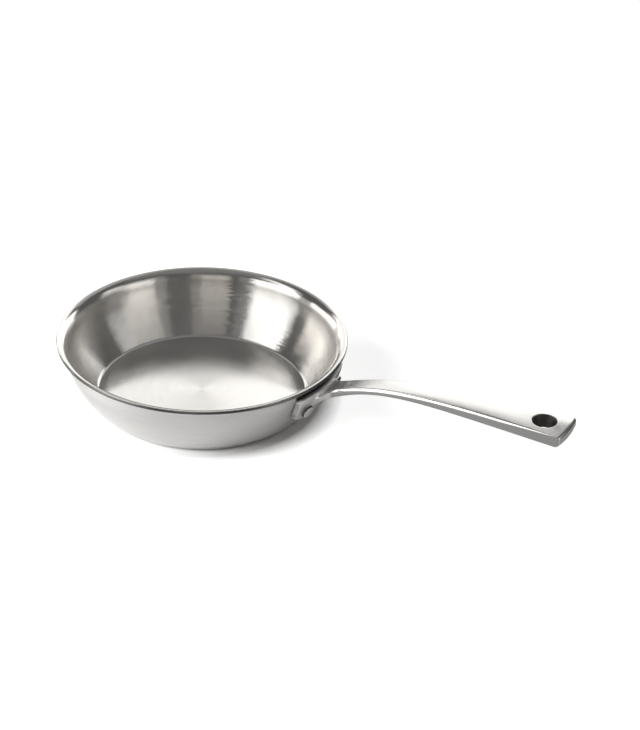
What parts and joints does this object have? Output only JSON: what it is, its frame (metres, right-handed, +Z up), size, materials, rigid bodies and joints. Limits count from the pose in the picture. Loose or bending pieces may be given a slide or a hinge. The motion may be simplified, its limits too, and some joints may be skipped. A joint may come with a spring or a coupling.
{
  "type": "frying pan",
  "caption": "Round frying pan with a flared pouring rim, a bellied clad steel wall and a long riveted cast handle that ends in a hanging hole.",
  "frame": {"origin": "middle of the flat base, on the surface that the pan stands on", "axes": "+X out along the handle, +Z up along the pan's axis"},
  "size_m": [0.3886, 0.21, 0.0613],
  "materials": {
    "cooking_steel": "stainless steel, turned brushing round the wall and floor",
    "core_aluminium": "aluminium, seen only as a fine grey line on the cut rim",
    "outer_steel": "magnetic stainless steel, fine satin brushing round the wall",
    "handle_steel": "cast stainless steel, satin top and sides with bright rounded edges",
    "rivet_steel": "stainless steel, smooth set heads"
  },
  "bodies": {
    "root": {"cooking_ply": "cooking_steel", "core_ply": "core_aluminium", "outer_ply": "outer_steel", "handle": "handle_steel", "front_rivet": "rivet_steel", "rear_rivet": "rivet_steel"}
  },
  "joints": []
}
